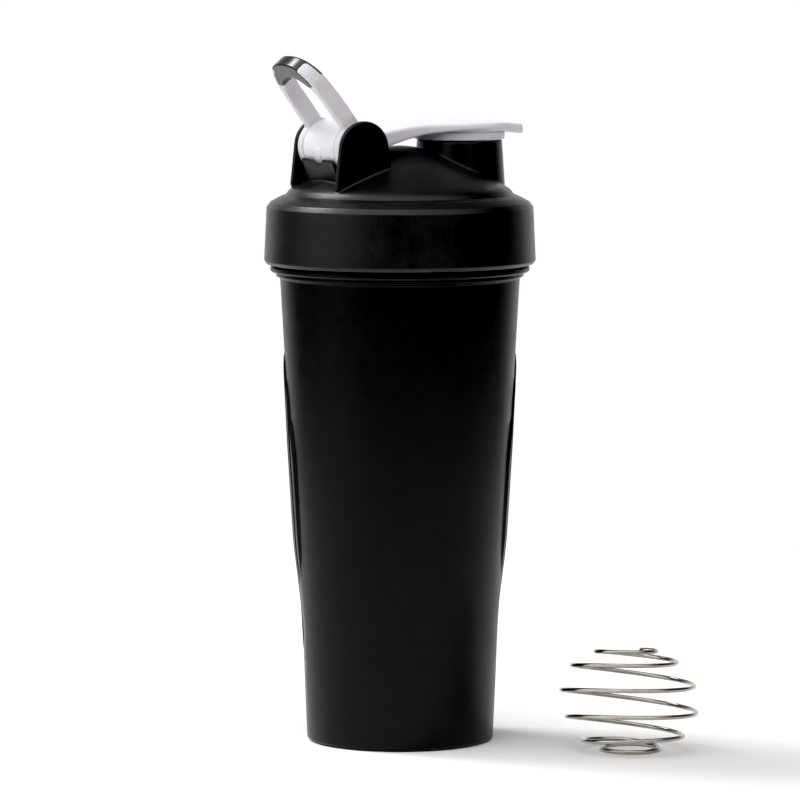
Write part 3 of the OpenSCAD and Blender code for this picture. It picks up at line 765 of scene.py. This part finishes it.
HEADING, PITCH = math.radians(30), math.radians(5.525)
AHEAD = Vector((math.sin(HEADING), math.cos(HEADING), 0))
RIGHT = Vector((math.cos(HEADING), -math.sin(HEADING), 0))
UP = Vector((0, 0, 1))
KEY = (AHEAD * 0.28 - RIGHT * 0.57 + UP * 0.77).normalized()
LEFT = (UP * 0.65 - AHEAD * 0.3 - RIGHT * 0.7).normalized()
FRONT = (UP * 0.8 - AHEAD * 0.55 + RIGHT * 0.3).normalized()
KEY_POWER, KEY_WIDTH = 1.75, math.radians(20)
DARK, FLOOR_R, BLACK_LEVEL = 0.03, 0.6, 0.007
CAMERA_PLACE, LENS, SENSOR = (-1.00595, -1.7424, 0.3196), 248.4315, 36


def floor():
    """A pale disc under everything."""
    mesh = bpy.data.meshes.new("floor")
    rim = [(FLOOR_R * math.cos(a), FLOOR_R * math.sin(a), 0) for a in circle_angles(120)]
    mesh.from_pydata(rim, [], [tuple(range(len(rim)))])
    mat = bpy.data.materials.new("floor")
    mat.use_nodes = True
    bsdf = mat.node_tree.nodes["Principled BSDF"]
    bsdf.inputs["Base Color"].default_value = (0.95, 0.95, 0.95, 1)
    bsdf.inputs["Roughness"].default_value = 0.9
    bsdf.inputs["Specular IOR Level"].default_value = 0.1
    mesh.materials.append(mat)
    obj = bpy.data.objects.new("floor", mesh)
    bpy.context.scene.collection.objects.link(obj)


def studio():
    """Soft panels at the left and overhead, a white card behind, dark elsewhere. The camera sees white."""
    world = bpy.data.worlds.new("studio")
    world.use_nodes = True
    bpy.context.scene.world = world
    tree = world.node_tree
    nodes = Nodes(tree)
    direction = nodes.coords.outputs["Generated"]

    def panel(towards, start, end, power):
        dot = nodes.add("VectorMath", {0: direction, 1: tuple(towards)}, operation="DOT_PRODUCT")
        fade = {"Value": dot.outputs["Value"], "From Min": start, "From Max": end,
                "To Min": 0, "To Max": power}
        return nodes.add("MapRange", fade, interpolation_type="SMOOTHSTEP").outputs["Result"]

    card = nodes.add("Math", {0: panel(AHEAD, 0.5, 0.9, 0.9), 1: panel(-UP, -0.5, -0.25, 1)},
                     operation="MULTIPLY").outputs["Value"]
    total = nodes.add("Math", {0: card, 1: DARK}, operation="ADD").outputs["Value"]
    for value in (panel(KEY, 0.5, 0.92, 0.15), panel(LEFT, 0.55, 0.95, 1.5), panel(FRONT, 0.68, 0.97, 1.4)):
        total = nodes.add("Math", {0: total, 1: value}, operation="ADD").outputs["Value"]
    back = tree.nodes["Background"]
    back.inputs["Color"].default_value = (1, 1, 1, 1)
    tree.links.new(total, back.inputs["Strength"])
    white = nodes.add("Background", {"Color": (1, 1, 1, 1), "Strength": 1.0})
    seen = nodes.add("LightPath")
    mix = nodes.add("MixShader", {0: seen.outputs["Is Camera Ray"], 1: back.outputs[0], 2: white.outputs[0]})
    tree.links.new(mix.outputs[0], tree.nodes["World Output"].inputs["Surface"])


def key_light():
    data = bpy.data.lights.new("key", "SUN")
    data.energy = KEY_POWER
    data.angle = KEY_WIDTH
    obj = bpy.data.objects.new("key", data)
    obj.rotation_euler = KEY.to_track_quat("Z", "Y").to_euler()
    bpy.context.scene.collection.objects.link(obj)


def camera():
    data = bpy.data.cameras.new("camera")
    data.sensor_width = SENSOR
    data.lens = LENS
    data.clip_end = 200
    obj = bpy.data.objects.new("camera", data)
    obj.location = CAMERA_PLACE
    look = AHEAD * math.cos(PITCH) - UP * math.sin(PITCH)
    obj.rotation_euler = look.to_track_quat("-Z", "Y").to_euler()
    bpy.context.scene.collection.objects.link(obj)
    bpy.context.scene.camera = obj


floor()
studio()
key_light()
camera()

view = bpy.context.scene.view_settings
view.view_transform = "Standard"
view.use_curve_mapping = True
view.curve_mapping.black_level = (BLACK_LEVEL, BLACK_LEVEL, BLACK_LEVEL)
